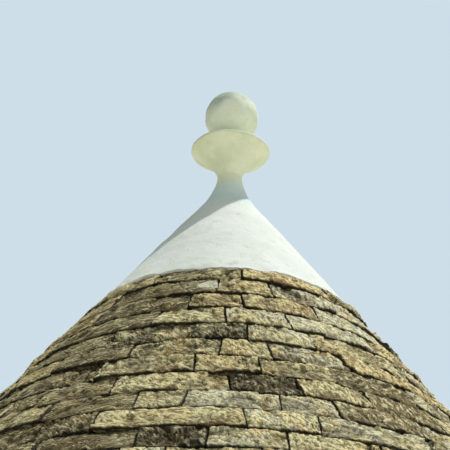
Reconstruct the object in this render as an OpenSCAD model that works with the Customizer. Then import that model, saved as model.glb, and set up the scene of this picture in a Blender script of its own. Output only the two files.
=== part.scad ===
// Conical dry-stone roof of a trullo, from its eaves to the ball of its pinnacle.
//
// The roof has two shells. Inside, thick corbel rings step inwards course by
// course and a slab closes them: that is the vault which carries the load.
// Outside, rings of thin slabs lie on beds pitched outwards, so that rain runs
// off them and never towards the room. Small rubble fills the space between.
// Above the last slab course the cone ends in a plastered tip, and a turned
// stone pinnacle, a neck, a dish and a ball, stands in it.
//
// Millimetres. The origin is on the roof's axis at the bearing plane, where
// the roof would stand on its round wall, and +Z is up.

/* [Outer cone] */
// Radius of the stone cone where it rises from the eaves course
base_r = 2100; // [2020:10:2400]
// Slope of the cone, from level
slope_deg = 53.25; // [50:0.25:57]
// Rise of one slab course
course_h = 100; // [90:2:104]
// Number of equal slab courses
course_n = 20; // [19:1:21]
// Rise of the thinner last course, under the plaster
top_course_h = 76; // [50:2:100]
// Depth of a slab course into the roof, measured level
slab_deep = 250; // [180:10:300]
// Outward pitch of the beds, from level
bed_pitch = 6; // [3:0.5:9]
// How far the lower edge of each course stands out over the one below
drip_lip = 12; // [6:1:20]

/* [Eaves] */
// Thickness of the eaves slabs at the cone's foot
eaves_t = 80; // [60:2:100]
// How far the eaves slabs reach out past the cone
eaves_out = 70; // [40:5:110]

/* [Corbel vault] */
// Height of the vault's opening over the bearing plane
vault_h = 1650; // [1500:10:1720]
// Number of corbel rings
ring_n = 11; // [9:1:12]
// Depth of a corbel ring into the roof
ring_deep = 300; // [220:10:320]
// Thickness of the closing slab
closing_t = 90; // [60:5:120]
// How far the closing slab rests on the last ring
closing_lap = 120; // [80:10:160]

/* [Rubble] */
// Least thickness of the rubble between slabs and rings, at the vault's foot
fill_foot = 60; // [30:5:100]
// Least thickness of the rubble halfway up the vault
fill_middle = 35; // [25:5:60]
// Least thickness of the rubble at the vault's crown
fill_crown = 150; // [100:10:180]

/* [Plastered tip] */
// Height of the plastered tip, from the last slab course to the neck
cap_h = 600; // [500:10:700]
// How far the plaster stands back behind the edge of the last course
cap_set_back = 8; // [2:1:20]
// Thickness of the plaster, square to its face
plaster_t = 40; // [20:2:50]

/* [Pinnacle] */
// Radius of the neck at its foot, where the plaster dies into it
neck_foot_r = 103; // [94:1:120]
// Radius of the neck at its waist
waist_r = 52; // [46:1:60]
// Height of the neck from its foot to its waist
neck_h = 140; // [110:5:180]
// How fast the neck draws in: 1 is a straight cone, more is a tighter foot
neck_draw = 1.75; // [1.2:0.05:2.5]
// Radius of the tenon under the neck
tenon_r = 30; // [24:1:36]
// Length of the tenon under the neck
tenon_l = 150; // [100:5:200]
// Outer radius of the dish
dish_r = 168; // [150:1:200]
// How late the dish's underside spreads: 1 is a straight cone, more spreads later
dish_flare = 1.8; // [1.2:0.05:2.6]
// Height of the dish, from the waist to the top of its rim
dish_h = 151; // [130:1:180]
// Thickness of the dish's round rim
rim_t = 34; // [26:1:40]
// Rise of the dish's upper face from its rim to the collar
dish_rise = 9; // [4:1:15]
// Radius of the collar that carries the ball
collar_r = 56; // [52:1:64]
// Height of the collar over the rim
collar_h = 54; // [40:1:70]
// Diameter of the ball
ball_d = 228; // [200:2:260]
// Radius of the flat that the ball sits on
ball_seat_r = 46; // [38:1:50]
// Radius of the dowels between neck, dish and ball
dowel_r = 16; // [12:1:20]
// Length of the dowels between neck, dish and ball
dowel_l = 60; // [40:5:80]

/* [Hidden] */
$fn = 128;
// How far a bore runs out past a face, and a pin runs into its own piece
past = 1;
slab_n = course_n + 1;
cone_top_z = eaves_t + course_n * course_h + top_course_h;
ring_h = vault_h / ring_n;

// Radius of the cone's face at a height
function cone_r(z) = base_r - (z - eaves_t) / tan(slope_deg);
// Height, at radius r, of the pitched bed that meets the cone's face at z
function bed_z(z, r) = z + (cone_r(z) - r) * tan(bed_pitch);

// Slab courses are counted upwards from 1
function slab_z0(i) = eaves_t + (i - 1) * course_h;
function slab_z1(i) = i < slab_n ? slab_z0(i + 1) : cone_top_z;
function slab_in_r(i) = cone_r(slab_z0(i)) - slab_deep;

// Corbel rings are counted upwards from 1. The rubble is thin halfway up and
// thick at the crown, which bows the rings out into a pointed arch.
function fill_t(t) =
    fill_foot * (1 - t) * (1 - 2 * t) + fill_middle * 4 * t * (1 - t) + fill_crown * t * (2 * t - 1);
function ring_out_r(j) = cone_r(j * ring_h) - slab_deep - fill_t((j - 1) / (ring_n - 1));
function ring_in_r(j) = ring_out_r(j) - ring_deep;
closing_r = ring_in_r(ring_n) + closing_lap;

// The plastered tip is a cone from its foot on the last course to the neck
cap_foot_r = cone_r(cone_top_z) - cap_set_back;
cap_slope = atan(cap_h / (cap_foot_r - neck_foot_r));
plaster_w = plaster_t / sin(cap_slope);
core_foot_r = cap_foot_r - plaster_w;
core_top_r = neck_foot_r - plaster_w;
core_floor_r = slab_in_r(slab_n);
core_floor_z = bed_z(cone_top_z, core_floor_r);

// Heights of the pinnacle's joints
neck_z = cone_top_z + cap_h;
waist_z = neck_z + neck_h;
collar_z = waist_z + dish_h + collar_h;
ball_z = collar_z + sqrt(pow(ball_d / 2, 2) - pow(ball_seat_r, 2));

function two_digits(i) = i < 10 ? str("0", i) : str(i);
function slab_name(i) = str("slab_course_", two_digits(i));
function ring_name(j) = str("corbel_ring_", two_digits(j));

module turned(points) {
    rotate_extrude() polygon(points);
}

// Long thin slabs that carry the cone's foot and throw the rain off the wall.
// Their underside is the bearing plane and their back meets the first ring.
module eaves_course() {
    tip_r = base_r + eaves_out;
    back_r = ring_out_r(1);
    color("tan") turned([
        [back_r, 0],
        [tip_r, 0],
        [tip_r, bed_z(eaves_t, tip_r)],
        [back_r, bed_z(eaves_t, back_r)]
    ]);
}

// One ring of roofing slabs, with both beds pitched outwards and a drip edge.
module slab_course(i) {
    z0 = slab_z0(i);
    z1 = slab_z1(i);
    lip_r = cone_r(z0) + drip_lip;
    in_r = slab_in_r(i);
    color(i % 2 == 0 ? "wheat" : "burlywood") turned([
        [in_r, bed_z(z0, in_r)],
        [lip_r, bed_z(z0, lip_r)],
        [cone_r(z1), z1],
        [in_r, bed_z(z1, in_r)]
    ]);
}

// One level ring of the vault, which stands in over the ring below.
module corbel_ring(j) {
    color(j % 2 == 0 ? "bisque" : "navajowhite") turned([
        [ring_in_r(j), (j - 1) * ring_h],
        [ring_out_r(j), (j - 1) * ring_h],
        [ring_out_r(j), j * ring_h],
        [ring_in_r(j), j * ring_h]
    ]);
}

// The slab that covers the opening the last ring leaves.
module closing_slab() {
    color("antiquewhite") translate([0, 0, vault_h]) cylinder(r = closing_r, h = closing_t);
}

// Small stones packed between the two shells, taken as one solid. Its outline
// climbs the backs of the slabs and comes down the backs of the rings.
module rubble_fill() {
    foot_r = ring_out_r(1);
    slab_backs = [
        for (i = [1:slab_n], top = [0, 1])
            [slab_in_r(i), bed_z(top == 1 ? slab_z1(i) : slab_z0(i), slab_in_r(i))]
    ];
    ring_backs = [
        for (j = [ring_n:-1:2], foot = [0, 1])
            [ring_out_r(j), (foot == 1 ? j - 1 : j) * ring_h]
    ];
    color("gray") turned(concat(
        [[foot_r, bed_z(eaves_t, foot_r)]],
        slab_backs,
        [[0, core_floor_z], [0, vault_h + closing_t]],
        [[closing_r, vault_h + closing_t], [closing_r, vault_h]],
        ring_backs,
        [[foot_r, ring_h]]
    ));
}

// The stone and mortar heart of the tip, bored for the pinnacle's tenon.
module cap_core() {
    color("darkgray") difference() {
        turned([
            [0, core_floor_z],
            [core_floor_r, core_floor_z],
            [core_foot_r, bed_z(cone_top_z, core_foot_r)],
            [core_top_r, neck_z],
            [0, neck_z]
        ]);
        translate([0, 0, neck_z - tenon_l]) cylinder(r = tenon_r, h = tenon_l + past);
    }
}

// The lime plaster coat of the tip.
module plaster_cap() {
    color("whitesmoke") turned([
        [core_foot_r, bed_z(cone_top_z, core_foot_r)],
        [cap_foot_r, bed_z(cone_top_z, cap_foot_r)],
        [neck_foot_r, neck_z],
        [core_top_r, neck_z]
    ]);
}

// The turned neck, which draws in to a waist and stands in the core by a tenon.
module pinnacle_neck() {
    steps = 14;
    sweep = [
        for (k = [0:steps])
            let (t = k / steps)
            [waist_r + (neck_foot_r - waist_r) * pow(1 - t, neck_draw), neck_z + neck_h * t]
    ];
    color("gainsboro") difference() {
        union() {
            turned(concat([[0, neck_z]], sweep, [[0, waist_z]]));
            translate([0, 0, neck_z - tenon_l]) cylinder(r = tenon_r, h = tenon_l + past);
        }
        translate([0, 0, waist_z - dowel_l]) cylinder(r = dowel_r, h = dowel_l + past);
    }
}

// The dish: an underside that spreads from the waist, a round rim and the
// ball's collar. The underside ends where it meets the circle of the rim.
module pinnacle_dish() {
    rim_r = rim_t / 2;
    rim_x = dish_r - rim_r;
    rim_y = dish_h - rim_r;
    under = atan(rim_y / (dish_flare * (rim_x - waist_r)));
    tip_r = rim_x + rim_r * sin(under);
    tip_y = rim_y - rim_r * cos(under);
    steps = 12;
    underside = [
        for (k = [0:steps])
            let (t = k / steps)
            [waist_r + (tip_r - waist_r) * pow(t, dish_flare), waist_z + tip_y * t]
    ];
    rim = [
        for (k = [1:steps])
            let (a = under - 90 + (180 - under) * k / steps)
            [rim_x + rim_r * cos(a), waist_z + rim_y + rim_r * sin(a)]
    ];
    color("palegoldenrod") difference() {
        union() {
            turned(concat(
                [[0, waist_z]],
                underside,
                rim,
                [[collar_r, waist_z + dish_h + dish_rise], [collar_r, collar_z], [0, collar_z]]
            ));
            translate([0, 0, waist_z - dowel_l]) cylinder(r = dowel_r, h = dowel_l + past);
        }
        translate([0, 0, collar_z - dowel_l]) cylinder(r = dowel_r, h = dowel_l + past);
    }
}

// The ball, cut flat where it sits on the collar and held by a dowel.
module pinnacle_ball() {
    color("darkseagreen") union() {
        difference() {
            translate([0, 0, ball_z]) sphere(d = ball_d);
            translate([-ball_d, -ball_d, collar_z - ball_d]) cube([2 * ball_d, 2 * ball_d, ball_d]);
        }
        translate([0, 0, collar_z - dowel_l]) cylinder(r = dowel_r, h = dowel_l + past);
    }
}

eaves_course();
for (i = [1:slab_n]) slab_course(i);
for (j = [1:ring_n]) corbel_ring(j);
closing_slab();
rubble_fill();
cap_core();
plaster_cap();
pinnacle_neck();
pinnacle_dish();
pinnacle_ball();
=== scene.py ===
# %% [markdown]
# # The cone of a trullo, course by course
# A trullo's roof is laid dry: rings of limestone slabs, each ring a little
# smaller than the one below, with no mortar between them. The tip is plastered
# and limewashed, and a turned stone pinnacle stands in it. The solids measured
# in CAD give every course as one plain ring. This lesson cuts the rings into
# weathered stones, plasters the tip, and gives each surface its finish. It
# starts by loading the solids, which also give every place used further on.

# %% Load the measured solids
import math
import random

import bpy
from mathutils import Matrix, Vector, noise


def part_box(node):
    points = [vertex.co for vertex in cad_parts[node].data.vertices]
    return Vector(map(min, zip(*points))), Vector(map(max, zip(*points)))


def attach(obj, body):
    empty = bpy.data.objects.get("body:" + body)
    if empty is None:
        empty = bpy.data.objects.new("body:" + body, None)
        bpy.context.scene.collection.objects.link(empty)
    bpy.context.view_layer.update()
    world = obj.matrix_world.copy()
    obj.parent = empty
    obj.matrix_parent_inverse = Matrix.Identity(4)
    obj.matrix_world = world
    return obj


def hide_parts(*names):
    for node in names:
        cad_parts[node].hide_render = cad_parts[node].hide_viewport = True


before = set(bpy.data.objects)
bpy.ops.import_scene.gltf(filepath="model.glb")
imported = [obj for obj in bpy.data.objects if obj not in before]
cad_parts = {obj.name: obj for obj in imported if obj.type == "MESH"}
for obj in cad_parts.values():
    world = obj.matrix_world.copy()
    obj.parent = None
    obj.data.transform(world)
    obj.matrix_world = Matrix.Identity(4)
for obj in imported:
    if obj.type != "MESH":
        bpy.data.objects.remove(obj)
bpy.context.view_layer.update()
slab_nodes = sorted(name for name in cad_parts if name.startswith("slab_course_"))
ring_nodes = sorted(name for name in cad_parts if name.startswith("corbel_ring_"))
print("slab courses", len(slab_nodes), "corbel rings", len(ring_nodes))

# %% [markdown]
# ## The camera
# The photographer stood some four metres from the eaves and looked up. The
# lens is long, and the horizon is tipped by two degrees. A camera could be
# aimed with a Track To constraint, but the roll would then need a second one,
# so its three axes are worked out and written into its matrix. The same axes
# tell, further on, which azimuth of a ring a column of the photograph looks at.

# %% Place the camera
def new_object(name, data):
    """Puts a camera, a mesh or a lamp in the scene, as an object of its own."""
    made = bpy.data.objects.new(name, data)
    bpy.context.scene.collection.objects.link(made)
    return made


photo_width = 450
photo_middle = photo_width / 2
focal_px = 1800
sensor_mm = 36
plaster_foot_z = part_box("plaster_cap")[0].z
camera_place = Vector((0, -6.463, plaster_foot_z - 3.314))
pitch = math.radians(30.62)
yaw = math.radians(-0.12)
roll = math.radians(1.92)

ahead = Vector((math.sin(yaw) * math.cos(pitch), math.cos(yaw) * math.cos(pitch), math.sin(pitch)))
level_right = ahead.cross(Vector((0, 0, 1))).normalized()
level_up = level_right.cross(ahead)
right = math.cos(roll) * level_right + math.sin(roll) * level_up
up = math.cos(roll) * level_up - math.sin(roll) * level_right

camera_data = bpy.data.cameras.new("photo_camera")
camera_data.sensor_width = sensor_mm
camera_data.lens = focal_px / photo_width * sensor_mm
camera_data.clip_end = 400
camera = new_object("photo_camera", camera_data)
camera.matrix_world = Matrix.Translation(camera_place) @ Matrix((right, up, -ahead)).transposed().to_4x4()
bpy.context.scene.camera = camera
print("lens", camera_data.lens, "mm, camera", round(camera_place.z, 2), "m from the bearing plane")

# %% [markdown]
# ## A short way to write node trees
# Every stone and every finish here is a node tree, and a tree of fifty Math
# nodes is long to write out. A small class helps: it holds one output socket,
# and its plus, minus and times signs add the Math node and the links. It works
# the same in geometry and in shader trees, because both share those nodes.

# %% Define the wire
class Wire:
    """One output of a node tree, which plain arithmetic carries further."""

    def __init__(self, tree, socket):
        self.tree = tree
        self.socket = socket

    def math(self, operation, *others):
        return add_node(self.tree, "ShaderNodeMath", [self, *others], operation=operation)

    def __add__(self, other):
        return self.math("ADD", other)

    __radd__ = __add__

    def __sub__(self, other):
        return self.math("SUBTRACT", other)

    def __rsub__(self, other):
        return self.math("MULTIPLY", -1).math("ADD", other)

    def __mul__(self, other):
        return self.math("MULTIPLY", other)

    __rmul__ = __mul__

    def __truediv__(self, other):
        return self.math("DIVIDE", other)

    def clamped(self):
        return self.math("MAXIMUM", 0).math("MINIMUM", 1)

    def ramp(self, low, high):
        """0 below low, 1 above high, and a soft step between. High may be the smaller."""
        node = self.tree.nodes.new("ShaderNodeMapRange")
        node.interpolation_type = "SMOOTHSTEP"
        for slot, value in zip(node.inputs, (self, low, high, 0, 1)):
            plug(self.tree, value, slot)
        return Wire(self.tree, node.outputs[0])


def plug(tree, value, slot):
    """Links a wire to a socket, or writes a plain value into it."""
    if isinstance(value, Wire):
        tree.links.new(value.socket, slot)
    else:
        slot.default_value = value


def add_node(tree, kind, values=(), output=0, **settings):
    """Adds a node, sets its options, fills its inputs in order or by name, and returns an output."""
    node = tree.nodes.new(kind)
    for name, value in settings.items():
        setattr(node, name, value)
    pairs = values.items() if isinstance(values, dict) else enumerate(values)
    for key, value in pairs:
        plug(tree, value, node.inputs[key])
    return Wire(tree, node.outputs[output])


def add_inputs(tree, kind, defaults):
    """Gives a node group one named input for each default value."""
    for name, value in defaults.items():
        tree.interface.new_socket(name, in_out="INPUT", socket_type=kind).default_value = value


def vector_of(tree, x, y, z):
    return add_node(tree, "ShaderNodeCombineXYZ", [x, y, z])


def parts_of(wire):
    node = wire.tree.nodes.new("ShaderNodeSeparateXYZ")
    wire.tree.links.new(wire.socket, node.inputs[0])
    return [Wire(wire.tree, output) for output in node.outputs]


def vector_math(operation, first, second):
    return add_node(first.tree, "ShaderNodeVectorMath", [first, second], operation=operation)


def noise_of(place, scale, detail=2.0, roughness=0.5, distortion=0.0):
    """Smooth noise from 0 to 1 at a place, with scale in waves per metre."""
    values = {"Vector": place, "Scale": scale, "Detail": detail, "Roughness": roughness}
    values["Distortion"] = distortion
    return add_node(place.tree, "ShaderNodeTexNoise", values)


print("wires ready")

# %% [markdown]
# ## The stone course as a tree
# A course could be modelled stone by stone, but there are more than six
# hundred stones. Geometry Nodes make them all from one rule. Each vertex of a
# small mesh stands for one stone and carries its own facts: the azimuths of
# its two joints, how far they lean, how far it sits in or out. The tree puts a
# gridded block on every vertex, and then moves each point of the block from the
# block's own space (along, deep, high) to its place in the ring. The edges are
# worn round, the bed lines wander a few millimetres, and the face gets swells,
# split facets, grooves and pits, as weather gives to soft limestone. Towards
# the beds this relief grows flatter, and the foot is undercut, so that each
# course throws a thin shadow on the one below.

# %% Build the course tree
COURSE_SIZES = {
    "Radius at foot": 2.0,
    "Radius at head": 1.9,
    "Back radius": 1.7,
    "Foot height": 0.0,
    "Head height": 0.1,
    "Foot pitch": 0.0,
    "Head pitch": 0.0,
    "Foot wander": 0.006,
    "Head wander": 0.006,
    "Joint": 0.0035,
    "Foot joint": 1.0,
    "Bed roughness": 0.0,
    "Wear": 1.0,
    "Facing": 1.0,
}
COURSE_GRIDS = {
    "Near cells along": 60,
    "Near cells up": 18,
    "Far cells along": 30,
    "Far cells up": 8,
    "Cells deep": 3,
}


def own_value(tree, name, kind="FLOAT"):
    return add_node(tree, "GeometryNodeInputNamedAttribute", {"Name": name}, data_type=kind)


def keep_value(tree, geometry, name, value, kind="FLOAT"):
    values = {"Geometry": geometry, "Name": name, "Value": value}
    return add_node(tree, "GeometryNodeStoreNamedAttribute", values, data_type=kind, domain="POINT")


def round_over(distance, radius):
    """How far an edge worn to a quarter circle falls back, at a distance from it."""
    rest = 1 - (distance / radius).clamped()
    return radius * (1 - (1 - rest * rest).math("SQRT"))


def ring_place(azimuth, radius, height):
    """The place on a ring at an azimuth, which counts from the side that the camera sees."""
    x = azimuth.math("SINE") * radius
    y = azimuth.math("COSINE") * radius * -1
    return vector_of(azimuth.tree, x, y, height)


def bed_wander(azimuth, height, amount):
    """How far a bed strays up or down. The courses above and below it read the same noise."""
    at = vector_of(azimuth.tree, azimuth.math("SINE"), azimuth.math("COSINE"), height * 9)
    return (noise_of(at, 7.0, 2.0) - 0.5) * 2 * amount


def course_tree():
    tree = bpy.data.node_groups.new("dry_stone_course", "GeometryNodeTree")
    tree.interface.new_socket("Stones", in_out="INPUT", socket_type="NodeSocketGeometry")
    add_inputs(tree, "NodeSocketFloat", COURSE_SIZES)
    add_inputs(tree, "NodeSocketInt", COURSE_GRIDS)
    tree.interface.new_socket("Finish", in_out="INPUT", socket_type="NodeSocketMaterial")
    tree.interface.new_socket("Course", in_out="OUTPUT", socket_type="NodeSocketGeometry")
    entry = tree.nodes.new("NodeGroupInput")
    size = {output.name: Wire(tree, output) for output in entry.outputs}

    # Near stones get a fine block, the others a coarse one.
    is_near = own_value(tree, "near").math("GREATER_THAN", 0.5)
    laid = tree.nodes.new("GeometryNodeJoinGeometry")
    for reach, chosen in (("Near", is_near), ("Far", 1 - is_near)):
        grid = {"Vertices X": size[reach + " cells along"], "Vertices Y": size["Cells deep"]}
        grid["Vertices Z"] = size[reach + " cells up"]
        block = add_node(tree, "GeometryNodeMeshCube", grid)
        block_place = add_node(tree, "GeometryNodeInputPosition")
        block = keep_value(tree, block, "block", block_place, "FLOAT_VECTOR")
        values = {"Points": size["Stones"], "Selection": chosen, "Instance": block}
        row = add_node(tree, "GeometryNodeInstanceOnPoints", values)
        tree.links.new(row.socket, laid.inputs[0])
    stones = add_node(tree, "GeometryNodeRealizeInstances", {"Geometry": Wire(tree, laid.outputs[0])})

    # A point's own place on its stone: along and high from -1 to 1, deep from 0 to 1.
    block_x, block_y, block_z = parts_of(own_value(tree, "block", "FLOAT_VECTOR"))
    along = close_to_edges(block_x * 2, 1.35)
    high = close_to_edges(block_z * 2, 1.6)
    deep = (block_y + 0.5).math("POWER", 2)
    at_back = deep.math("GREATER_THAN", 0.9)
    along = blend(along, (along * 2).math("ROUND") / 2, at_back)
    high = blend(high, (high * 0.5 + 0.5).math("ROUND") * 2 - 1, at_back)

    # The stone's outline between its two joints and its two beds.
    foot_r, head_r = size["Radius at foot"], size["Radius at head"]
    foot_h, head_h = size["Foot height"], size["Head height"]
    face_back, face_high = foot_r - head_r, head_h - foot_h
    seed = own_value(tree, "seed") * 37.0
    lean = high * 0.5
    azimuth_a = own_value(tree, "joint_a") + own_value(tree, "lean_a") * lean
    azimuth_b = own_value(tree, "joint_b") + own_value(tree, "lean_b") * lean
    middle = (azimuth_a + azimuth_b) * 0.5
    half_turn = (azimuth_b - azimuth_a) * 0.5
    front_r = blend(foot_r, head_r, lean + 0.5)
    rise = (high + 1) * (face_high * 0.5)
    to_end = (1 - along.math("ABSOLUTE")) * (half_turn * front_r)
    to_bed = (1 - high.math("ABSOLUTE")) * (face_high * 0.5)
    flat_place = ring_place(middle + size["Facing"] * along * half_turn, front_r, foot_h + rise)
    own_shift = vector_of(tree, seed, seed * 0.7, seed * 1.3)
    stone_place = vector_math("ADD", flat_place, own_shift)

    # Joints open, and corners wear round, more where the stone is chipped.
    chipped = noise_of(stone_place, 13.0, 2.0).ramp(0.52, 0.78)
    worn = size["Wear"] * (0.0025 + 0.020 * chipped)
    corner = size["Wear"] * (0.002 + 0.014 * chipped)
    end_shift = size["Joint"] * 0.5 + round_over(to_bed, corner)
    bed_shift = size["Joint"] * 0.5 + round_over(to_end, corner)
    azimuth = middle + size["Facing"] * along * (half_turn - end_shift / front_r)

    # The relief of the face, which fades out five centimetres behind it.
    swell = (1 - along * along) * (1 - high.math("POWER", 4)) * own_value(tree, "swell")
    slow = (noise_of(stone_place, 6.0, 1.0) - 0.5) * 0.016
    mid = (noise_of(stone_place, 30.0, 4.0, 0.7) - 0.5) * 0.011
    split = facets_of(stone_place, 11.0) * 0.17
    turn = own_value(tree, "groove_turn")
    arc = azimuth * front_r
    along_groove = (arc * turn.math("COSINE") + rise * turn.math("SINE")) * 18 + seed
    across_groove = (rise * turn.math("COSINE") - arc * turn.math("SINE")) * 66
    groove = noise_of(vector_of(tree, along_groove, across_groove, seed), 1.0, 2.0)
    furrow = (1 - ((groove - 0.5).math("ABSOLUTE") * 2).ramp(0.0, 0.16)) * -0.006
    furrow = furrow * noise_of(stone_place, 14.0, 0.0).ramp(0.38, 0.55)
    pits = noise_of(stone_place, 56.0, 2.0, 0.6).ramp(0.56, 0.70) * -0.005
    relief = (slow + mid + split + furrow + pits - 0.002) * own_value(tree, "rugged")
    relief = relief * (0.55 + 0.45 * (to_bed / 0.015).clamped())
    undercut = size["Wear"] * (0.008 + 0.016 * noise_of(stone_place, 5.0, 1.0))
    edge_fall = round_over(to_end, worn) + round_over(to_bed, worn) + round_over(rise, undercut) * 0.5
    set_out = own_value(tree, "set_out") + own_value(tree, "skew") * along
    depth = deep * (front_r - size["Back radius"]).math("ABSOLUTE")
    push = (swell + set_out + relief - edge_fall) * (1 - depth / 0.05).clamped()

    # The beds slope, wander and are rough behind the face.
    radius = blend(front_r, size["Back radius"], deep)
    foot_wander = bed_wander(azimuth, foot_h, size["Foot wander"])
    head_wander = bed_wander(azimuth, head_h, size["Head wander"])
    foot_drop = own_value(tree, "foot_drop") + own_value(tree, "foot_tilt") * along
    foot_drop = foot_drop * size["Foot wander"] * (1 - deep)
    foot_z = foot_h + foot_wander + foot_drop + bed_shift * size["Foot joint"]
    foot_z = foot_z + (foot_r - radius) * size["Foot pitch"]
    bed_place = vector_of(tree, azimuth * front_r, depth, seed)
    bed_hollow = noise_of(bed_place, 16.0, 3.0, 0.6) * (depth * 20).clamped()
    foot_z = foot_z + bed_hollow * size["Bed roughness"]
    head_z = head_h + head_wander - bed_shift + (head_r - radius) * size["Head pitch"]
    height = blend(foot_z, head_z, lean + 0.5)

    # The relief pushes square to the sloping face.
    face_long = (face_high * face_high + face_back * face_back).math("SQRT")
    radius = radius + push * size["Facing"] * face_high / face_long
    height = height + push * face_back / face_long
    place = ring_place(azimuth, radius, height)
    formed = add_node(tree, "GeometryNodeSetPosition", {"Geometry": stones, "Position": place})

    # What the finishes read, and a closed back.
    face_place = vector_of(tree, arc + seed, rise, depth)
    formed = keep_value(tree, formed, "face_place", face_place, "FLOAT_VECTOR")
    formed = keep_value(tree, formed, "relief", relief * 50 + 0.5)
    formed = keep_value(tree, formed, "to_joint", to_end.math("MINIMUM", to_bed + depth))
    merge = {"Geometry": formed, "Selection": at_back, "Distance": 0.0005}
    merged = add_node(tree, "GeometryNodeMergeByDistance", merge)
    smooth = add_node(tree, "GeometryNodeSetShadeSmooth", {"Geometry": merged})
    values = {"Geometry": smooth, "Material": size["Finish"]}
    finished = add_node(tree, "GeometryNodeSetMaterial", values)
    leave = tree.nodes.new("NodeGroupOutput")
    plug(tree, finished, leave.inputs[0])
    return tree


def facets_of(place, scale):
    """Flat chips of random tilt, as a split stone shows, by cells of a Voronoi texture."""
    node = place.tree.nodes.new("ShaderNodeTexVoronoi")
    plug(place.tree, place, node.inputs["Vector"])
    node.inputs["Scale"].default_value = scale
    centre, random_tilt = (Wire(place.tree, node.outputs[name]) for name in ("Position", "Color"))
    tilt = vector_math("SUBTRACT", random_tilt, vector_of(place.tree, 0.5, 0.5, 0.5))
    offset = vector_math("SUBTRACT", place, centre)
    return add_node(place.tree, "ShaderNodeVectorMath", [offset, tilt], output=1, operation="DOT_PRODUCT")


def blend(first, second, share):
    """First where share is 0, second where it is 1."""
    return (1 - share) * first + share * second


def close_to_edges(wire, pull):
    """Draws even grid lines from -1 to 1 closer together at the two edges."""
    inner = (1 - wire.math("ABSOLUTE")).math("MAXIMUM", 0).math("POWER", pull)
    return wire.math("SIGN") * (1 - inner)


stone_course = course_tree()
print("course tree:", len(stone_course.nodes), "nodes")

# %% [markdown]
# ## Where the joints are
# The joints that the photograph shows are read from it as columns of pixels,
# course by course from the plaster down, each with a word for the stone at its
# right, and one word for the stone at the left of them all. A ray through such
# a column meets the course's circle at one azimuth. Round the back, where
# nothing shows, stones of ordinary length go on, from a fixed seed. This way
# the front matches, and no side repeats another.

# %% Read the joints and turn columns into azimuths
# Shares of pale lichen, grey crust, ochre and umber on each kind of stone.
STONE_KINDS = {
    "tan": (0.2, 0.2, 0.4, 0.10),
    "umber": (0.15, 0.3, 0.3, 0.75),
    "ochre": (0.15, 0.1, 0.9, 0.05),
    "pale": (0.7, 0.1, 0.25, 0.0),
    "cream": (1.0, 0.0, 0.1, 0.0),
    "grey": (0.35, 0.75, 0.1, 0.15),
    "dark": (0.15, 1.0, 0.1, 0.3),
    "lichen": (0.85, 0.5, 0.05, 0.05),
}
COMMON_KINDS = ("tan", "umber", "ochre", "pale", "tan", "grey", "ochre", "lichen", "dark", "tan")
# The stone at the left of each course is umber, except in the top course, and so is the last at the right
# of several courses, while the top courses end in cream at the right. So the courses darken towards the
# sides and lighten at the upper right: this is partly the stones' own tone and partly painted shade and
# painted light.
PHOTO_COURSES = [
    {"left": "grey", 242: "ochre"},
    {"left": "umber", 218: "ochre", 272: "lichen", 330: "cream"},
    {"left": "umber", 189.5: "ochre", 243: "ochre", 317: "cream"},
    {"left": "umber", 156: "tan", 225.4: "lichen", 289: "cream"},
    {"left": "umber", 110: "grey", 193.5: "dark", 247.5: "pale", 313: "tan"},
    {"left": "umber", 131: "grey", 220.5: "tan", 271: "lichen", 346: "ochre"},
    {"left": "umber", 88: "umber", 97.6: "tan", 194.5: "tan", 260: "tan", 333: "umber"},
    {"left": "umber", 112.5: "tan", 230: "dark", 300: "tan", 370: "umber"},
    {"left": "umber", 135: "pale", 184: "cream", 281.3: "lichen", 338: "umber"},
    {"left": "umber", 36: "umber", 94: "tan", 245: "pale", 320.5: "lichen"},
    {"left": "umber", 135.5: "dark", 207: "pale", 288.6: "tan", 387: "umber"},
    {"left": "umber", 114.8: "pale", 164.5: "tan", 262: "tan", 345: "tan"},
]
# How far round a ring the camera can see at most, to either side.
widest_view = math.radians(72)


def ring_point(azimuth, radius, height):
    return Vector((math.sin(azimuth) * radius, -math.cos(azimuth) * radius, height))


def column_of(azimuth, radius, height):
    """Column of the photograph at which the camera sees a point of a ring."""
    point = ring_point(azimuth, radius, height) - camera_place
    return photo_middle + focal_px * point.dot(right) / point.dot(ahead)


def azimuth_of(column, radius, height):
    """Azimuth of the ring's near side that shows at a column, by halving the range."""
    low, high = -widest_view, widest_view
    for _ in range(40):
        half = (low + high) / 2
        if column_of(half, radius, height) < column:
            low = half
        else:
            high = half
    return (low + high) / 2


def lay_stones(radius, height, known, lengths, seed):
    """Joint azimuths once round a ring, and the kind of stone that follows each."""
    draw = random.Random(seed)
    if known:
        read = sorted(column for column in known if column != "left")
        joints = [(azimuth_of(column, radius, height), known[column]) for column in read]
        start, end = joints[-1][0], joints[0][0] + 2 * math.pi
    else:
        start = draw.uniform(0, 2 * math.pi)
        end = start + 2 * math.pi
        joints = [(start, draw.choice(("tan", "ochre", "pale", "grey")))]
    gap = end - start
    count = max(1, round(gap * radius / (sum(lengths) / 2)))
    steps = [draw.uniform(*lengths) for _ in range(count)]
    reach = start
    for step in steps[:-1]:
        reach += step * gap / sum(steps)
        joints.append((reach, draw.choice(COMMON_KINDS)))
    if known and len(joints) > len(read):
        joints[-1] = (joints[-1][0], known["left"])
    return joints


trial = lay_stones(0.6, 2.1, PHOTO_COURSES[0], (0.3, 0.42), 1)
print("stones in a trial of the top course:", len(trial))

# %% [markdown]
# ## Shared effects of the finishes
# Several finishes here weather the same way: lichen grows in patches, dirt
# gathers in hollows, and stone has grain at every scale. Each effect is a
# shader node group with its own sizes as inputs, so that the stone, the
# plaster and the pinnacle use one recipe with different amounts. A group hands
# out only masks and heights. The Principled shader stays in each material.

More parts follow.
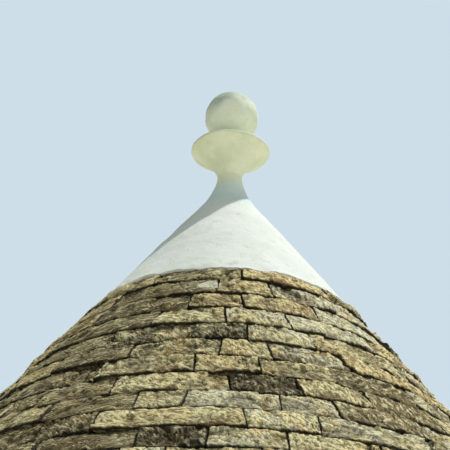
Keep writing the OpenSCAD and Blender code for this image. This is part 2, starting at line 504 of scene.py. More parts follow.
# %% Build the shared effects
def effect_group(name, build, outputs, **inputs):
    """A shader group with named float inputs, filled by a function that returns its outputs."""
    tree = bpy.data.node_groups.new(name, "ShaderNodeTree")
    tree.interface.new_socket("Place", in_out="INPUT", socket_type="NodeSocketVector")
    add_inputs(tree, "NodeSocketFloat", inputs)
    for key in outputs:
        tree.interface.new_socket(key, in_out="OUTPUT", socket_type="NodeSocketFloat")
    entry = tree.nodes.new("NodeGroupInput")
    leave = tree.nodes.new("NodeGroupOutput")
    values = {output.name: Wire(tree, output) for output in entry.outputs}
    for key, wire in build(values).items():
        plug(tree, wire, leave.inputs[key])
    return tree


def build_patches(v):
    """Blotches with a ragged rim: slow noise decides where, fine noise eats the rim."""
    slow = noise_of(v["Place"], v["Scale"], 3.0, 0.55)
    fine = noise_of(v["Place"], v["Scale"] * 6, 4.0, 0.7)
    field = slow * 0.7 + fine * 0.3
    edge = 0.72 - v["Amount"] * 0.34
    return {"Mask": field.ramp(edge, edge + v["Softness"])}


def build_stone_grain(v):
    """Grain of weathered limestone: chalky swells, fine grit and sharp pits."""
    swell = noise_of(v["Place"], v["Scale"], 5.0, 0.62)
    grit = noise_of(v["Place"], v["Scale"] * 5, 3.0, 0.7)
    pits = noise_of(v["Place"], v["Scale"] * 2.1, 2.0, 0.6, 0.8).ramp(0.60, 0.70)
    height = swell * 0.75 + grit * 0.25 - pits * v["Pits"]
    return {"Height": height, "Pits": pits}


def build_rain_dashes(v):
    """Short sloping furrows that rain cuts into a face: noise drawn out along one slant."""
    across, upwards, outwards = parts_of(v["Place"])
    cosine, sine = v["Slant"].math("COSINE"), v["Slant"].math("SINE")
    along = (across * cosine + upwards * sine) * v["Scale"]
    over = (upwards * cosine - across * sine) * v["Scale"] * v["Stretch"]
    drawn = vector_of(v["Place"].tree, along, over, outwards * 30)
    return {"Height": noise_of(drawn, 1.0, 2.0, 0.55, 0.25)}


patches = effect_group("ragged_patches", build_patches, ["Mask"], Scale=6.0, Amount=0.5, Softness=0.08)
stone_grain = effect_group("stone_grain", build_stone_grain, ["Height", "Pits"], Scale=40.0, Pits=0.5)
rain_dashes = effect_group(
    "rain_dashes", build_rain_dashes, ["Height"], Scale=38.0, Stretch=2.4, Slant=-0.6
)


def effect(group, place, output=0, **values):
    """Puts a shared effect in a material, with this material's own values."""
    node = place.tree.nodes.new("ShaderNodeGroup")
    node.node_tree = group
    plug(place.tree, place, node.inputs["Place"])
    for key, value in values.items():
        plug(place.tree, value, node.inputs[key])
    return Wire(place.tree, node.outputs[output])


def patches_at(place, scale, amount, softness):
    return effect(patches, place, Scale=scale, Amount=amount, Softness=softness)


def srgb(red, green, blue):
    """A colour as a picture names it, from 0 to 255, in the linear values that shaders take."""
    shares = [value / 255 for value in (red, green, blue)]
    linear = [s / 12.92 if s <= 0.04045 else ((s + 0.055) / 1.055) ** 2.4 for s in shares]
    return (*linear, 1.0)


def tint(first, second, share):
    """Mixes two colours by a wire that carries a share from 0 to 1."""
    node = share.tree.nodes.new("ShaderNodeMix")
    node.data_type = "RGBA"
    plug(share.tree, share, node.inputs["Factor"])
    plug(share.tree, first, [s for s in node.inputs if s.name == "A" and s.type == "RGBA"][0])
    plug(share.tree, second, [s for s in node.inputs if s.name == "B" and s.type == "RGBA"][0])
    return Wire(share.tree, [s for s in node.outputs if s.type == "RGBA"][0])


def layered(ground, *coats):
    """Lays coats over a ground colour. A coat is a colour from 0 to 255 and its share."""
    colour = srgb(*ground)
    for shade, share in coats:
        colour = tint(colour, srgb(*shade), share)
    return colour


def new_finish(name):
    """An empty material, its tree, its shader and the wire of Object coordinates."""
    material = bpy.data.materials.new(name)
    material.use_nodes = True
    tree = material.node_tree
    shader = tree.nodes["Principled BSDF"]
    place = add_node(tree, "ShaderNodeTexCoord", output="Object")
    return material, tree, shader, place


def set_surface(shader, colour, roughness, specular, height, depth):
    """Fills a shader: plain values on its own sockets, colour and a relief of some depth by wire."""
    shader.inputs["Roughness"].default_value = roughness
    shader.inputs["Specular IOR Level"].default_value = specular
    plug(colour.tree, colour, shader.inputs["Base Color"])
    bump = add_node(colour.tree, "ShaderNodeBump", {"Height": height, "Distance": depth, "Strength": 1.0})
    plug(colour.tree, bump, shader.inputs["Normal"])


def attribute(tree, name, output="Fac"):
    return add_node(tree, "ShaderNodeAttribute", output=output, attribute_name=name)


def stone_spot(tree, place):
    """A place shifted by each stone's own seed, so that no two stones share a pattern."""
    seed = attribute(tree, "seed")
    return vector_math("ADD", place, vector_of(tree, seed * 31, seed * 17, seed * 23))


print("effects:", patches.name, stone_grain.name, rain_dashes.name)

# %% [markdown]
# ## The finish of the roofing stones
# The limestone of the roof is cream when split, and weather turns it tan, grey,
# ochre and umber, each stone in its own way. Rain cuts short slanting furrows,
# painted dark partly as black crust and partly as painted shade, with a painted
# highlight on the ridges between them. Pale lichen grows on the face. Along the
# foot of each stone a brown band is partly rust and dirt and partly painted
# shade, and a dark line at its very foot is painted shadow. The joints are
# darkened partly by dirt and partly by painted shade, and hollows of the face are
# darkened with painted shade. The colour could be painted on an image, but
# procedural layers stay sharp at any distance. Each stone's own leaning, which
# the course tree carries along, shifts the amounts.
# Near the plaster one smear of limewash lies where the photograph has it.

# %% Mix the roofing stone
def point_seen_at(column, row, radius):
    """Where the ray through a point of the photograph meets an upright cylinder about the axis."""
    ray = ahead * focal_px + right * (column - photo_middle) + up * (photo_middle - row)
    a = ray.x**2 + ray.y**2
    b = camera_place.x * ray.x + camera_place.y * ray.y
    c = camera_place.x**2 + camera_place.y**2 - radius**2
    return camera_place + ray * ((-b - math.sqrt(b * b - a * c)) / a)


smear_column, smear_row = 209, 283
smeared_r = (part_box(slab_nodes[-2])[1].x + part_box(slab_nodes[-1])[1].x) / 2
lime_smear_place = point_seen_at(smear_column, smear_row, smeared_r)
print("lime smear at", [round(value, 3) for value in lime_smear_place])


def roofing_finish():
    material, tree, shader, place = new_finish("weathered_roof_stone")
    spot = stone_spot(tree, place)
    rust_spot = vector_math("ADD", spot, vector_of(tree, 3.1, 0.4, 7.7))
    on_face = attribute(tree, "face_place", "Vector")
    pale, grey, ochre = parts_of(attribute(tree, "leaning", "Vector"))
    relief = attribute(tree, "relief").clamped()
    to_joint = attribute(tree, "to_joint")

    tone = noise_of(spot, 5.0, 3.0, 0.6)
    warm = patches_at(spot, 5.0, ochre, 0.16)
    crusted = patches_at(spot, 7.0, grey, 0.12)
    lichen = patches_at(spot, 12.0, 0.15 + pale * 0.85, 0.10)
    rust = patches_at(rust_spot, 9.0, ochre * 0.3 + 0.14, 0.05)
    dashes = effect(rain_dashes, on_face, Slant=attribute(tree, "groove_turn"))
    rained = patches_at(spot, 7.0, 0.55 + grey * 0.4, 0.2)
    furrows = dashes.ramp(0.485, 0.450) * (0.6 + rained * 0.4) * (1 - pale * 0.25)
    specks = patches_at(spot, 30.0, 0.20 + grey * 0.45, 0.05)
    pits = effect(stone_grain, spot, "Pits", Scale=40.0)
    stain = patches_at(rust_spot, 6.0, 0.5, 0.08)
    _, over_bed, past_arris = parts_of(on_face)
    over_bed = over_bed + past_arris * 0.3
    from_smear = vector_math("SUBTRACT", place, vector_of(tree, *lime_smear_place))
    from_smear = vector_math("MULTIPLY", from_smear, vector_of(tree, 1.0, 1.0, 2.0))
    reach = add_node(tree, "ShaderNodeVectorMath", [from_smear], output=1, operation="LENGTH")
    reach = reach + (noise_of(place, 34.0, 3.0, 0.65) - 0.5) * 0.06

    colour = layered(
        (246, 222, 156),
        ((255, 245, 188), tone.ramp(0.3, 0.7)),
        ((230, 198, 134), warm * 0.65),
        ((140, 135, 104), crusted * 0.8),
        ((240, 238, 206), lichen * 0.75),
        ((190, 136, 80), rust * 0.45),
        ((103, 88, 52), attribute(tree, "umber") * 0.8),
        # Painted highlight: the ridges between the rain dashes are painted pale, as if lit.
        ((255, 247, 206), dashes.ramp(0.56, 0.62) * 0.7),
        # The furrows are painted near black, partly as crust and partly as painted shade in the grooves.
        ((24, 16, 7), furrows * 0.98),
        ((66, 60, 42), specks * 0.7),
        ((50, 44, 32), pits * 0.7),
        # Painted shade: the colour is darkened where the face relief sinks into hollows.
        ((74, 60, 38), relief.ramp(0.36, 0.02) * 0.5),
        # A brown band along the foot of each stone, partly rust stain and partly painted shade.
        ((122, 82, 48), stain * over_bed.ramp(0.034, 0.012) * 0.7),
        # Painted shadow: a dark line at the very foot of each stone, along the bed.
        ((30, 21, 12), over_bed.ramp(0.008, 0.002) * 0.7),
        # Dark joints and beds, partly dirt and partly painted shade.
        ((22, 17, 10), to_joint.ramp(0.004, 0.001) * 0.9),
        ((244, 242, 218), reach.ramp(0.054, 0.044) * 0.95),
    )
    grain = effect(stone_grain, spot, "Height", Scale=42.0, Pits=0.5)
    set_surface(shader, colour, 0.92, 0.25, grain * 1.3 + dashes * 0.9 - furrows * 0.4, 0.008)
    return material


roof_stone = roofing_finish()
print("roof finish:", roof_stone.name, len(roof_stone.node_tree.nodes), "nodes")

# %% [markdown]
# ## The finish of the vault
# The stones of the vault never see rain. They keep the pale face that they had
# when they were split, with a few rusty veins, and the hollows of the face are
# darkened with painted shade. So the recipe is a short one, with neither lichen
# nor black crusts.

# %% Mix the vault stone
def vault_finish():
    material, tree, shader, place = new_finish("sheltered_vault_stone")
    spot = stone_spot(tree, place)
    tone = noise_of(spot, 6.0, 3.0, 0.6)
    veins = patches_at(spot, 8.0, 0.35, 0.12)
    relief = attribute(tree, "relief").clamped()
    pits = effect(stone_grain, spot, "Pits", Scale=34.0)
    colour = layered(
        (206, 196, 170),
        ((230, 224, 202), tone.ramp(0.3, 0.7)),
        ((196, 160, 108), veins * 0.5),
        # Painted shade: the colour is darkened where the face relief sinks into hollows.
        ((150, 138, 112), relief.ramp(0.45, 0.10) * 0.6),
        ((120, 108, 84), pits * 0.5),
    )
    grain = effect(stone_grain, spot, "Height", Scale=34.0, Pits=0.4)
    set_surface(shader, colour, 0.9, 0.25, grain, 0.009)
    return material


vault_stone = vault_finish()
print("vault finish:", vault_stone.name, len(vault_stone.node_tree.nodes), "nodes")

# %% [markdown]
# ## Laying the courses
# One function gives a course its stones and runs the tree. It writes the facts
# of each stone on a mesh of single vertices, sets the tree's sizes by the
# sockets' identifiers, and takes the evaluated result as a plain mesh. The
# modifier is removed before the piece is tied to the frame, so that the piece
# holds as a plain mesh what is seen. Each course stands for the plain ring it
# was cut from.

# %% Define how one course is laid
drip_lip = 0.012
slab_deep = 0.25
bed_pitch = math.tan(math.radians(6))


def write_values(mesh, name, values):
    """Keeps a number or a triple for each stone on the mesh."""
    is_triple = isinstance(values[0], tuple)
    layer = mesh.attributes.new(name, "FLOAT_VECTOR" if is_triple else "FLOAT", "POINT")
    flat = [part for value in values for part in value] if is_triple else values
    layer.data.foreach_set("vector" if is_triple else "value", flat)


def lay_course(name, joints, sizes, cells, finish, seed, character):
    """Builds one ring of stones and returns it as a plain mesh object."""
    draw = random.Random(seed)

    def spread(low, high, amount=1):
        return [draw.uniform(low, high) * amount for _ in joints]

    starts = [azimuth for azimuth, _ in joints]
    ends = starts[1:] + [starts[0] + 2 * math.pi]
    middles = [(start + end) / 2 for start, end in zip(starts, ends)]
    near_cosine = math.cos(math.radians(character.get("near", 0)))
    kinds = [STONE_KINDS[kind] for _, kind in joints]
    leans = [lean / sizes["Radius at foot"] for lean in spread(-1, 1, character["lean"])]
    facts = {
        "joint_a": starts,
        "joint_b": ends,
        "lean_a": leans,
        "lean_b": leans[1:] + leans[:1],
        "seed": spread(0, 1),
        "set_out": spread(-1, 1, character["set_out"]),
        "skew": spread(-1, 1, character["skew"]),
        "foot_drop": spread(-0.4, 0.4),
        "foot_tilt": spread(-0.45, 0.45),
        "swell": spread(0.3, 1, character["swell"]),
        "groove_turn": spread(-0.95, -0.15),
        "near": [1.0 if math.cos(middle) > near_cosine else 0.0 for middle in middles],
        "umber": [kind[3] + more for kind, more in zip(kinds, spread(0, 0.2))],
        "rugged": [0.75 + kind[1] * 0.8 + more for kind, more in zip(kinds, spread(0, 0.5))],
        "leaning": [kind[:3] for kind in kinds],
    }
    mesh = bpy.data.meshes.new(name)
    mesh.from_pydata([(0, 0, 0)] * len(joints), [], [])
    for fact, values in facts.items():
        write_values(mesh, fact, values)

    piece = new_object(name, mesh)
    step = piece.modifiers.new("course", "NODES")
    step.node_group = stone_course
    inputs = {**COURSE_SIZES, **sizes, **cells, "Finish": finish}
    for item in stone_course.interface.items_tree:
        if item.in_out == "INPUT" and item.name in inputs:
            step[item.identifier] = inputs[item.name]
    shaped = piece.evaluated_get(bpy.context.evaluated_depsgraph_get())
    plain = bpy.data.meshes.new_from_object(shaped)
    piece.modifiers.clear()
    piece.data = plain
    bpy.data.meshes.remove(mesh)
    return piece


def fasten(piece, node):
    """Ties a finished piece to the frame, in the place of the node it stands for."""
    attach(piece, "root")
    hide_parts(node)


def triangles(piece):
    return sum(len(face.vertices) - 2 for face in piece.data.polygons)


print("bed pitch drops", round(slab_deep * bed_pitch * 1000), "mm over a slab")

# %% [markdown]
# ## The roofing slabs
# The solids give each slab course its lip, its beds and its depth. The lowest
# courses lie below the photograph's edge and get a coarser grid, and so do the
# stones round the back. Those that the photograph shows get a fine one, so that
# pits and worn edges cast their own small shadows instead of only tinting the
# face. The lips are worn back a little, and the last course reaches a little
# past the foot of the plaster.

# %% Lay the slab courses
slab_character = {"lean": 0.012, "set_out": 0.004, "skew": 0.003, "swell": 0.005, "near": 78}
slab_lengths = (0.30, 0.44)
lip_wear = 0.005
past_plaster = 0.008
fine_cells = {"Near cells along": 72, "Near cells up": 22, "Far cells along": 34, "Far cells up": 10}
coarse_cells = {**fine_cells, "Near cells along": 34, "Near cells up": 10}
stone_total = 0
for number, node in enumerate(slab_nodes):
    low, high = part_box(node)
    is_last = number + 1 == len(slab_nodes)
    over_low, over_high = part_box("plaster_cap" if is_last else slab_nodes[number + 1])
    sizes = {
        "Radius at foot": high.x - lip_wear,
        "Radius at head": over_high.x + (past_plaster if is_last else -drip_lip),
        "Back radius": high.x - drip_lip - slab_deep,
        "Foot height": low.z,
        "Head height": over_low.z,
        "Foot pitch": bed_pitch,
        "Head pitch": bed_pitch,
        "Head wander": 0.0 if is_last else COURSE_SIZES["Head wander"],
    }
    from_top = len(slab_nodes) - 1 - number
    known = PHOTO_COURSES[from_top] if from_top < len(PHOTO_COURSES) else None
    middle_r = (high.x + sizes["Radius at head"]) / 2
    joints = lay_stones(middle_r, (low.z + over_low.z) / 2, known, slab_lengths, 100 + number)
    cells = fine_cells if known else coarse_cells
    piece = lay_course(node + "_stones", joints, sizes, cells, roof_stone, 200 + number, slab_character)
    fasten(piece, node)
    stone_total += triangles(piece)
    print(node, len(joints), "stones", triangles(piece), "triangles")
print("slab courses in all:", stone_total, "triangles")

# %% [markdown]
# ## The eaves
# The cone's foot stands on longer, thinner slabs that reach out past it and
# throw the rain clear of the wall. They are flat below, where they bear, and
# pitched above. The same tree lays them, with a level foot and longer stones.

# %% Lay the eaves
low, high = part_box("eaves_course")
first_low, first_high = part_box(slab_nodes[0])
eaves_character = {"lean": 0.02, "set_out": 0.010, "skew": 0.006, "swell": 0.006}
eaves_lengths = (0.42, 0.66)
eaves_cells = {"Far cells along": 46, "Far cells up": 9}
sizes = {
    "Radius at foot": high.x,
    "Radius at head": high.x,
    "Back radius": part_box(ring_nodes[0])[1].x,
    "Head height": first_low.z - (high.x - first_high.x) * bed_pitch,
    "Head pitch": bed_pitch,
    "Foot wander": 0.0,
    "Foot joint": 0.0,
    "Head wander": 0.003,
}
joints = lay_stones(high.x, 0.0, None, eaves_lengths, 61)
piece = lay_course("eaves_slabs", joints, sizes, eaves_cells, roof_stone, 62, eaves_character)
fasten(piece, "eaves_course")
print("eaves:", len(joints), "slabs,", triangles(piece), "triangles")

# %% [markdown]
# ## The vault
# Inside, thick level stones step inwards until one slab can close the gap.
# Their faces look towards the room, so the tree runs with its facing turned
# round, and the beds lie level. They show only from below, through the open
# foot, and have a coarser grid. The first ring stands on the wall, so its foot
# is even, and the last one carries the closing slab on an even head.

# %% Lay the corbel rings
ring_deep = 0.30
ring_lengths = (0.30, 0.48)
ring_wander = 0.004
vault_character = {"lean": 0.03, "set_out": 0.010, "skew": 0.008, "swell": 0.008}
vault_cells = {"Far cells along": 20, "Far cells up": 8, "Cells deep": 8}
for number, node in enumerate(ring_nodes):
    low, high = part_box(node)
    face_r = high.x - ring_deep
    sizes = {
        "Radius at foot": face_r,
        "Radius at head": face_r,
        "Back radius": high.x,
        "Foot height": low.z,
        "Head height": high.z,
        "Foot wander": ring_wander if number else 0.0,
        "Head wander": ring_wander if number + 1 < len(ring_nodes) else 0.0,
        "Joint": 0.009,
        "Foot joint": 1.0 if number else 0.0,
        "Bed roughness": 0.014 if number else 0.0,
        "Facing": -1.0,
    }
    joints = lay_stones(face_r, low.z, None, ring_lengths, 300 + number)
    name = node + "_stones"
    piece = lay_course(name, joints, sizes, vault_cells, vault_stone, 320 + number, vault_character)
    fasten(piece, node)
    print(node, len(joints), "stones", triangles(piece), "triangles")

# %% [markdown]
# ## Turning the pieces of the tip
# The plaster, the neck, the dish, the ball and the closing slab are all round
# about the roof's axis. A Screw modifier would turn their outlines too, but a
# short function that spins a profile leaves even quads, closes the poles and
# lets a little noise push each point in or out, as a hand does.

# %% Define the lathe
crease_angle = math.radians(40)
on_axis = 1e-6


def even_points(outline, step):
    """Puts points at even steps along an outline of (radius, height) corners."""
    points = []
    for (r0, z0), (r1, z1) in zip(outline, outline[1:]):
        count = max(1, round(math.hypot(r1 - r0, z1 - z0) / step))
        points += [(r0 + (r1 - r0) * k / count, z0 + (z1 - z0) * k / count) for k in range(count)]
    return points + [outline[-1]]


def turn_piece(name, outline, step, around, finish, hand):
    """Spins an outline, from pole to pole or as a loop, and shifts each point by hand(point)."""
    points = even_points(outline, step)
    looped = outline[0] == outline[-1]
    if looped:
        points = points[:-1]
    verts, rows = [], []
    for radius, height in points:
        if radius < on_axis:
            rows.append([len(verts)] * around)
            verts.append(Vector((0, 0, height)))
        else:
            rows.append(list(range(len(verts), len(verts) + around)))
            verts += [ring_point(2 * math.pi * k / around, radius, height) for k in range(around)]
    pairs = list(zip(rows, rows[1:])) + ([(rows[-1], rows[0])] if looped else [])
    faces = []
    for lower, upper in pairs:
        for k in range(around):
            n = (k + 1) % around
            corners = [lower[k], lower[n], upper[n], upper[k]]
            faces.append([c for i, c in enumerate(corners) if c != corners[i - 1]])
    mesh = bpy.data.meshes.new(name)
    mesh.from_pydata([point + hand(point) for point in verts], [], faces)
    mesh.shade_smooth()
    mesh.set_sharp_from_angle(angle=crease_angle)
    mesh.materials.append(finish)
    return new_object(name, mesh)


def rough(point, scale, layers=3):
    """Layered noise about zero at a point, each layer twice as fine as the one before."""
    return noise.fractal(point * scale, 0.8, 2.0, layers, noise_basis="PERLIN_ORIGINAL")


def wobble(point, scale, amount):
    """Outward shift of a point by layered noise, in metres."""
    flat = Vector((point.x, point.y, 0))
    if flat.length < on_axis:
        return Vector((0, 0, 0))
    return flat.normalized() * rough(point, scale) * amount


def fade(*shares):
    """The least of the shares, kept between 0 and 1."""
    return max(0.0, min(1.0, *shares))


print("lathe ready")

# %% [markdown]
# ## Limewash and pinnacle stone
# Limewash is brushed on in thin coats. It is almost white, dull, and faintly
# mottled where the coats differ, with a green stain low down where rain stands
# on the stones. Up the neck it is tinted blue-grey, which is painted shade, and
# at the top yellow, which is painted bounce light from the dish. The dish and
# ball are old turned limestone under worn wash, cream below, which is partly
# painted warm bounce light, and grey-green with lichen on top, where they stay
# wet. This film also leans away from the sun as painted shade, and on the dish
# it dulls the sunlit top of the rim as painted shade.

# %% Mix the limewash and the pinnacle stone
def limewash_finish():
    material, tree, shader, place = new_finish("limewash")
    height_above = parts_of(place)[2] - plaster_foot_z
    coats = noise_of(place, 7.0, 4.0, 0.6)
    drawn_down = vector_math("MULTIPLY", place, vector_of(tree, 30.0, 30.0, 5.0))
    streaks = noise_of(drawn_down, 1.0, 3.0, 0.6)
    splash = patches_at(place, 14.0, 0.6, 0.2)
    specks = patches_at(place, 55.0, 0.12, 0.04)
    colour = layered(
        (235, 241, 233),
        ((242, 246, 241), coats.ramp(0.35, 0.65)),
        ((208, 212, 198), streaks.ramp(0.56, 0.74) * 0.45),
        ((170, 182, 158), splash * height_above.ramp(0.16, 0.0) * 0.55),
        ((150, 148, 132), specks * 0.35),
        # Painted shade: blue-grey up the neck.
        ((212, 233, 231), height_above.ramp(0.50, 0.60) * 0.7),
        # Painted bounce light: yellow at the top of the neck, as the dish above it.
        ((230, 236, 204), height_above.ramp(0.655, 0.735)),
    )
    brushed = noise_of(place, 26.0, 4.0, 0.6) * 0.7 + noise_of(place, 120.0, 3.0, 0.6) * 0.3
    set_surface(shader, colour, 0.85, 0.3, brushed, 0.004)
    return material


def pinnacle_finish(name, dry, worn, wet_height, wet_reach, painted_shade_lean):
    """Turned stone under worn wash, with lichen from wet_height up; the film also leans away from the sun
    as painted shade.
    """
    material, tree, shader, place = new_finish(name)
    sunward, _, height = parts_of(place)
    tone = noise_of(place, 11.0, 4.0, 0.6)
    # Partly lichen and partly painted shade: the film reaches lower on the side away from the sun.
    lichen_and_painted_shade = height - sunward * painted_shade_lean + (noise_of(place, 14.0, 3.0) - 0.5) * wet_reach * 1.3
    lichen_and_painted_shade = lichen_and_painted_shade.ramp(wet_height, wet_height + wet_reach)
    film = patches_at(place, 13.0, 0.95, 0.3)
    dark = patches_at(place, 36.0, 0.55, 0.12)
    specks = patches_at(place, 70.0, 0.2, 0.05)
    colour = layered(
        worn,
        (dry, tone.ramp(0.35, 0.65)),
        ((172, 188, 172), lichen_and_painted_shade * 0.6 + film * lichen_and_painted_shade * 0.4),
        ((126, 142, 130), dark * lichen_and_painted_shade * 0.45),
        ((140, 136, 108), specks * 0.4),
    )
    grain = effect(stone_grain, place, "Height", Scale=60.0, Pits=0.3)
    set_surface(shader, colour, 0.8, 0.35, grain, 0.0025)
    return material


neck_box, dish_box, ball_box = (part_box("pinnacle_" + part) for part in ("neck", "dish", "ball"))
waist_z = neck_box[1].z
rim_z = waist_z + 0.134
# The dish's film starts just above the rim's middle, so besides lichen it is painted shade on the sunlit
# top of the rim.
dish_wet_z = rim_z + 0.002
ball_wet_z = ball_box[1].z - 0.13
limewash = limewash_finish()
# The cream of the dish and the ball is partly painted warm bounce light.
dish_stone = pinnacle_finish("dish_stone", (240, 245, 217), (225, 232, 198), dish_wet_z, 0.008, 0.03)
ball_stone = pinnacle_finish("ball_stone", (246, 253, 234), (232, 242, 214), ball_wet_z, 0.09, 0.4)
print("finishes:", limewash.name, dish_stone.name, ball_stone.name)

# %% [markdown]
# ## The plastered tip
# The plaster is laid over the stones in a coat of about four centimetres and
# drawn up to the neck with a trowel. Its face swells a few millimetres, and its
# foot runs out unevenly over the last course.

# %% Plaster the tip
cap_low, cap_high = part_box("plaster_cap")
foot_r = cap_high.x
neck_foot_r = neck_box[1].x
neck_z = cap_high.z
coat = 0.05
foot_round = 0.006
cap_run = 0.74
half_coat = 0.02
cap_outline = [
    (foot_r - coat, cap_low.z + foot_round),
    (foot_r - foot_round, cap_low.z + 0.001),
    (foot_r, cap_low.z + 0.008),
    (neck_foot_r, neck_z),
    (neck_foot_r - coat, neck_z),
    (foot_r - coat, cap_low.z + foot_round),
]


def trowel(point):
    """Waves of the outer face, a ragged foot and an even head. The inner face stays as it is."""
    middle_r = neck_foot_r + (neck_z - point.z) * cap_run - half_coat
    if math.hypot(point.x, point.y) <= middle_r:
        return Vector((0, 0, 0))
    near_foot = fade(1 - (point.z - cap_low.z) / 0.05)
    shift = wobble(point, 4.0, 0.005) + wobble(point, 17.0, 0.0018)
    shift += wobble(point, 11.0, 0.010 * near_foot)
    shift.z += 0.008 * near_foot * rough(point, 21.0)
    return shift * fade((neck_z - point.z) / 0.06)


piece = turn_piece("tip_plaster", cap_outline, 0.013, 200, limewash, trowel)
fasten(piece, "plaster_cap")
print("tip plaster:", triangles(piece), "triangles")

# %% [markdown]
# ## The pinnacle
# The neck draws in to a waist, the dish spreads from it to a round rim, and
# the ball sits on a low collar. Such pinnacles are turned or cut by eye, so
# the outlines are true and the faces are not quite even.

# %% Turn the neck, the dish and the ball
def sweep(wide_r, low_z, high_z, power, widens):
    """A trumpet's outline between the waist's radius and a wide one, from low to high."""
    points = []
    for k in range(25):
        t = k / 24
        share = (t if widens else 1 - t) ** power
        points.append((waist_r + (wide_r - waist_r) * share, low_z + (high_z - low_z) * t))
    return points


def neck_hand(point):
    return wobble(point, 14.0, 0.003) * fade((point.z - neck_z) / 0.03, (waist_z - point.z) / 0.02)


waist_r = 0.052
neck_draw = 1.75
neck_sweep = sweep(neck_foot_r, neck_z, waist_z, neck_draw, False)
neck_outline = [(0.0, neck_z), *neck_sweep, (0.0, waist_z)]
piece = turn_piece("neck_of_pinnacle", neck_outline, 0.006, 96, limewash, neck_hand)
fasten(piece, "pinnacle_neck")

rim_r = 0.010
rim_x = dish_box[1].x - rim_r
dish_flare = 1.8
well_r, well_z = 0.066, waist_z + 0.159
collar_r, collar_foot_z, collar_z = 0.056, waist_z + 0.170, dish_box[1].z
under = math.atan((rim_z - waist_z) / (dish_flare * (rim_x - waist_r)))
tip_r = rim_x + rim_r * math.sin(under)
tip_z = rim_z - rim_r * math.cos(under)
dish_outline = [(0.0, waist_z), *sweep(tip_r, waist_z, tip_z, dish_flare, True)]
for k in range(1, 17):
    angle = under - math.pi / 2 + (math.pi - under) * k / 16
    dish_outline.append((rim_x + rim_r * math.cos(angle), rim_z + rim_r * math.sin(angle)))
dish_outline += [(well_r, well_z), (collar_r, collar_foot_z), (collar_r, collar_z), (0.0, collar_z)]


def dish_hand(point):
    ends_fade = fade((point.z - waist_z) / 0.03, (collar_z - point.z) / 0.02)
    return (wobble(point, 9.0, 0.004) + wobble(point, 40.0, 0.001)) * ends_fade


piece = turn_piece("dish_of_pinnacle", dish_outline, 0.006, 160, dish_stone, dish_hand)
fasten(piece, "pinnacle_dish")

ball_r = (ball_box[1].x - ball_box[0].x) / 2
ball_z = ball_box[1].z - ball_r
seat = math.acos((ball_z - collar_z) / ball_r)
ball_outline = [(0.0, collar_z)]
for k in range(49):
    angle = seat + (math.pi - seat) * k / 48
    ball_outline.append((ball_r * math.sin(angle), ball_z - ball_r * math.cos(angle)))
ball_outline[-1] = (0.0, ball_z + ball_r)


def ball_hand(point):
    away = Vector((point.x, point.y, point.z - ball_z)).normalized()
    return away * rough(point, 13.0, 4) * 0.003 * fade((point.z - collar_z) / 0.02)


piece = turn_piece("ball_of_pinnacle", ball_outline, 0.007, 120, ball_stone, ball_hand)
fasten(piece, "pinnacle_ball")
print("pinnacle top at", round(ball_z + ball_r, 3), "m")

# %% [markdown]
# ## What stays inside
# One wide slab closes the vault, and from below only its rough underside
# shows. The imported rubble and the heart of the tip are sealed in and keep
# their solids, but light falls on the rubble through the joints, so it gets a
# finish of its own: small dark stones with darker gaps, from a cell texture.

# %% Close the vault and finish the rubble
slab_low, slab_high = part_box("closing_slab")
slab_r = slab_high.x
slab_round = 0.006
slab_bearing = 0.13
slab_outline = [
    (0.0, slab_low.z),
    (slab_r - slab_round, slab_low.z),
    (slab_r, slab_low.z + slab_round),
    (slab_r, slab_high.z),
    (0.0, slab_high.z),
]


def slab_hand(point):
    """Hollows the underside a little where it bears on nothing."""
    if point.z > slab_low.z + 0.001 or math.hypot(point.x, point.y) > slab_r - slab_bearing:
        return Vector((0, 0, 0))
    return Vector((0, 0, 0.006 + 0.006 * rough(point, 9.0)))


def rubble_finish():
    material, tree, shader, place = new_finish("packed_rubble")
    at = {"Vector": place, "Scale": 14.0}
    middles = add_node(tree, "ShaderNodeTexVoronoi", at, output="Distance")
    gaps = add_node(tree, "ShaderNodeTexVoronoi", at, output="Distance", feature="DISTANCE_TO_EDGE")
    colour = layered(
        (120, 112, 92),
        ((158, 148, 122), noise_of(place, 9.0, 3.0).ramp(0.3, 0.7)),
        ((60, 54, 44), gaps.ramp(0.12, 0.02)),
    )
    height = gaps.ramp(0.0, 0.3) + noise_of(place, 60.0, 3.0) * 0.3 - middles * 0.2
    set_surface(shader, colour, 0.95, 0.5, height, 0.02)
    return material


piece = turn_piece("vault_closing_slab", slab_outline, 0.012, 96, vault_stone, slab_hand)
fasten(piece, "closing_slab")
rubble = rubble_finish()
for node in ("rubble_fill", "cap_core"):
    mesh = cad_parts[node].data
    mesh.materials.clear()
    mesh.materials.append(rubble)
print("rubble finish on rubble_fill and cap_core")

# %% [markdown]
# ## Floor and light
# The roof rests on a pale floor that is open under the vault, as the room
# would be, so that the inside is lit. The photograph's camera is lower than the
# eaves, so the floor's underside lets its view through. The sun stands high, a
# little to the right, and a world tinted like the sky fills the shade. A broad
# lamp from the right front stands for the bright part of the sky, and one from
# below lights the vault. Together they light a surface that faces the sun about
# as bright as its colour is written.

# %% Light the roof
floor_inner, floor_outer, floor_steps = 2.15, 160.0, 128
turns = [2 * math.pi * k / floor_steps for k in range(floor_steps)]
verts, faces = [], []
for reach in (floor_inner, floor_outer):
    verts += [(math.sin(turn) * reach, math.cos(turn) * reach, 0) for turn in turns]
for k in range(floor_steps):
    n = (k + 1) % floor_steps
    faces.append((k, n, n + floor_steps, k + floor_steps))
floor_mesh = bpy.data.meshes.new("floor")
floor_mesh.from_pydata(verts, [], faces)
floor = new_object("floor", floor_mesh)
print("floor faces up:", floor_mesh.polygons[0].normal.z > 0)

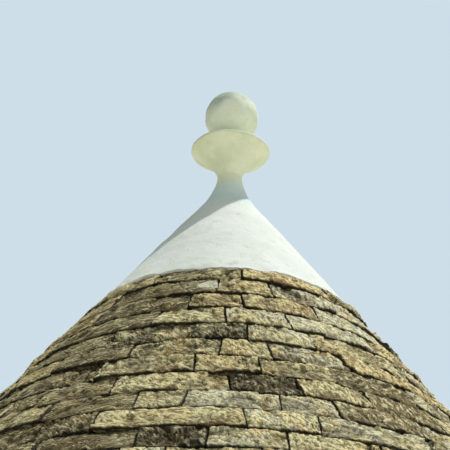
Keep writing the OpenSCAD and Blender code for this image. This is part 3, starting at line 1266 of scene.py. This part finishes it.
floor_finish = bpy.data.materials.new("floor")
floor_finish.use_nodes = True
tree = floor_finish.node_tree
floor_shader = tree.nodes["Principled BSDF"]
floor_shader.inputs["Base Color"].default_value = srgb(226, 221, 208)
floor_shader.inputs["Roughness"].default_value = 0.9
from_below = add_node(tree, "ShaderNodeNewGeometry", output="Backfacing")
clear = add_node(tree, "ShaderNodeBsdfTransparent")
seen_through = [from_below, Wire(tree, floor_shader.outputs[0]), clear]
surface = add_node(tree, "ShaderNodeMixShader", seen_through)
plug(tree, surface, tree.nodes["Material Output"].inputs["Surface"])
floor_mesh.materials.append(floor_finish)

world = bpy.data.worlds.new("studio")
world.use_nodes = True
bpy.context.scene.world = world
tree = world.node_tree
seen = tree.nodes["Background"]
seen.inputs["Color"].default_value = srgb(206, 222, 232)
seen.inputs["Strength"].default_value = 1.0
fill = add_node(tree, "ShaderNodeBackground", {"Color": (0.72, 0.92, 1.0, 1.0), "Strength": 0.20})
ray = tree.nodes.new("ShaderNodeLightPath")
seen_ray = Wire(tree, ray.outputs["Is Camera Ray"])
for name in ("Is Glossy Ray", "Is Transmission Ray"):
    seen_ray = seen_ray.math("MAXIMUM", Wire(tree, ray.outputs[name]))
sky = add_node(tree, "ShaderNodeMixShader", [seen_ray, fill, Wire(tree, seen.outputs[0])])
plug(tree, sky, tree.nodes["World Output"].inputs["Surface"])


def add_sun(name, energy, breadth_deg, colour, towards):
    """A lamp with parallel rays, by the direction in which it stands and how broad it looks."""
    data = bpy.data.lights.new(name, "SUN")
    data.energy = energy
    data.angle = math.radians(breadth_deg)
    data.color = colour
    lamp = new_object(name, data)
    lamp.rotation_mode = "QUATERNION"
    lamp.rotation_quaternion = Vector(towards).to_track_quat("Z", "Y")


add_sun("high_sun", 3.05, 2, (1.0, 0.98, 0.94), (0.304, 0.135, 0.943))
add_sun("broad_fill", 0.48, 70, (1.0, 1.0, 0.98), (0.75, -0.55, 0.36))
add_sun("room_fill", 1.4, 120, (1.0, 0.98, 0.95), (0.0, 0.0, -1.0))
bpy.context.scene.view_settings.view_transform = "Standard"
print("lamps", [lamp.name for lamp in bpy.data.lights])
